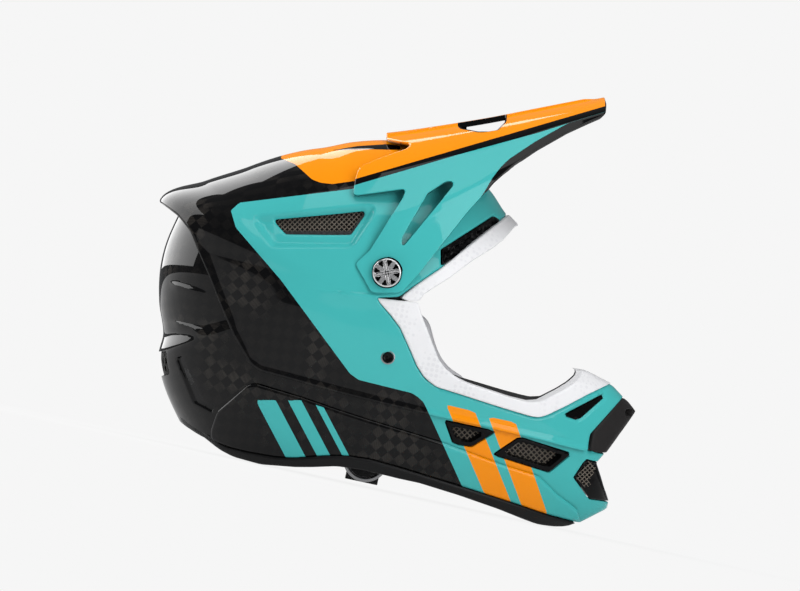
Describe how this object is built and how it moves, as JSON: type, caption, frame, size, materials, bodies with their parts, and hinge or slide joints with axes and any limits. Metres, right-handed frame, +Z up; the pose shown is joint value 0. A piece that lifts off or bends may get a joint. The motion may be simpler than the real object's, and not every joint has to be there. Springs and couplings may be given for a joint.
{
  "type": "full face bicycle helmet",
  "caption": "Full face helmet for downhill riding, with a tilting visor on side screws, vented chin bar, crush foam, pads and a ring-buckle strap.",
  "frame": {"origin": "on the surface that the helmet stands on, under the middle of its bounding box", "axes": "+X forward out of the eye opening, +Y to the rider's left, +Z up as the helmet stands on its chin and neck rim"},
  "size_m": [0.3828, 0.2508, 0.324],
  "materials": {
    "shell_gloss_black": "clear coat over woven carbon and paint",
    "visor_paint": "gloss paint, orange top and teal sides",
    "trim_white": "satin white edging",
    "trim_black": "satin black rubber",
    "black_gloss": "gloss moulding",
    "guard_grey": "satin dark grey moulding",
    "aluminium": "machined",
    "steel": "plain",
    "wire_net": "black wire net",
    "crush_foam": "expanded bead foam",
    "soft_lining": "brushed knit over open foam",
    "webbing": "woven strap"
  },
  "bodies": {
    "shell": {"outer_shell": "shell_gloss_black", "base_trim": "trim_black", "eyeport_trim_upper": "trim_white", "eyeport_trim_lower": "trim_white", "visor_washers": "black_gloss", "pivot_inserts": "steel", "centre_insert": "steel", "mouth_guard": "guard_grey", "mouth_mesh": "wire_net", "chin_intake": "black_gloss", "chin_intake_mesh": "wire_net", "rear_exhaust_mesh": "wire_net", "eps_liner": "crush_foam", "chin_foam": "crush_foam", "comfort_liner": "soft_lining", "cheek_pad_snaps": "black_gloss", "neck_roll": "soft_lining", "chin_strap_left": "webbing", "chin_strap_right": "webbing", "strap_anchor_plates": "steel", "strap_rivets": "steel", "brow_vent_grille_left": "black_gloss", "brow_vent_grille_right": "black_gloss", "side_vent_mesh_left": "wire_net", "side_vent_mesh_right": "wire_net", "chin_vent_bezel_front_left": "black_gloss", "chin_vent_bezel_front_right": "black_gloss", "chin_vent_mesh_front_left": "wire_net", "chin_vent_mesh_front_right": "wire_net", "chin_vent_bezel_rear_left": "black_gloss", "chin_vent_bezel_rear_right": "black_gloss", "chin_vent_mesh_rear_left": "wire_net", "chin_vent_mesh_rear_right": "wire_net", "cheek_slot_plug_left": "black_gloss", "cheek_slot_plug_right": "black_gloss", "cheek_foam_left": "crush_foam", "cheek_foam_right": "crush_foam", "cheek_pad_left": "soft_lining", "cheek_pad_right": "soft_lining"},
    "visor": {"visor": "visor_paint"},
    "screw_left": {"visor_screw_left": "aluminium"},
    "screw_right": {"visor_screw_right": "aluminium"},
    "screw_centre": {"visor_centre_screw": "aluminium"},
    "ring_outer": {"d_ring_outer": "steel"},
    "ring_inner": {"d_ring_inner": "steel"}
  },
  "joints": [
    {"name": "visor_tilt", "type": "hinge", "parent": "shell", "child": "visor", "pos_m": [-0.01304, 0, 0.16024], "axis": [0, 1, 0], "range_deg": [-5, 12]},
    {"name": "screw_left_turn", "type": "hinge", "parent": "shell", "child": "screw_left", "pos_m": [-0.01304, 0.118, 0.16024], "axis": [0, 1, 0], "continuous": true},
    {"name": "screw_right_turn", "type": "hinge", "parent": "shell", "child": "screw_right", "pos_m": [-0.01304, -0.118, 0.16024], "axis": [0, -1, 0], "continuous": true},
    {"name": "screw_centre_turn", "type": "hinge", "parent": "shell", "child": "screw_centre", "pos_m": [0.0074, 0, 0.25813], "axis": [0.2044, 0, 0.9789], "continuous": true},
    {"name": "ring_outer_swing", "type": "hinge", "parent": "shell", "child": "ring_outer", "pos_m": [0.00102, -0.08035, 0.02756], "axis": [1, 0, 0], "range_deg": [-15, 0]},
    {"name": "ring_inner_swing", "type": "hinge", "parent": "shell", "child": "ring_inner", "pos_m": [0.00102, -0.07615, 0.02756], "axis": [1, 0, 0], "range_deg": [0, 50]}
  ]
}
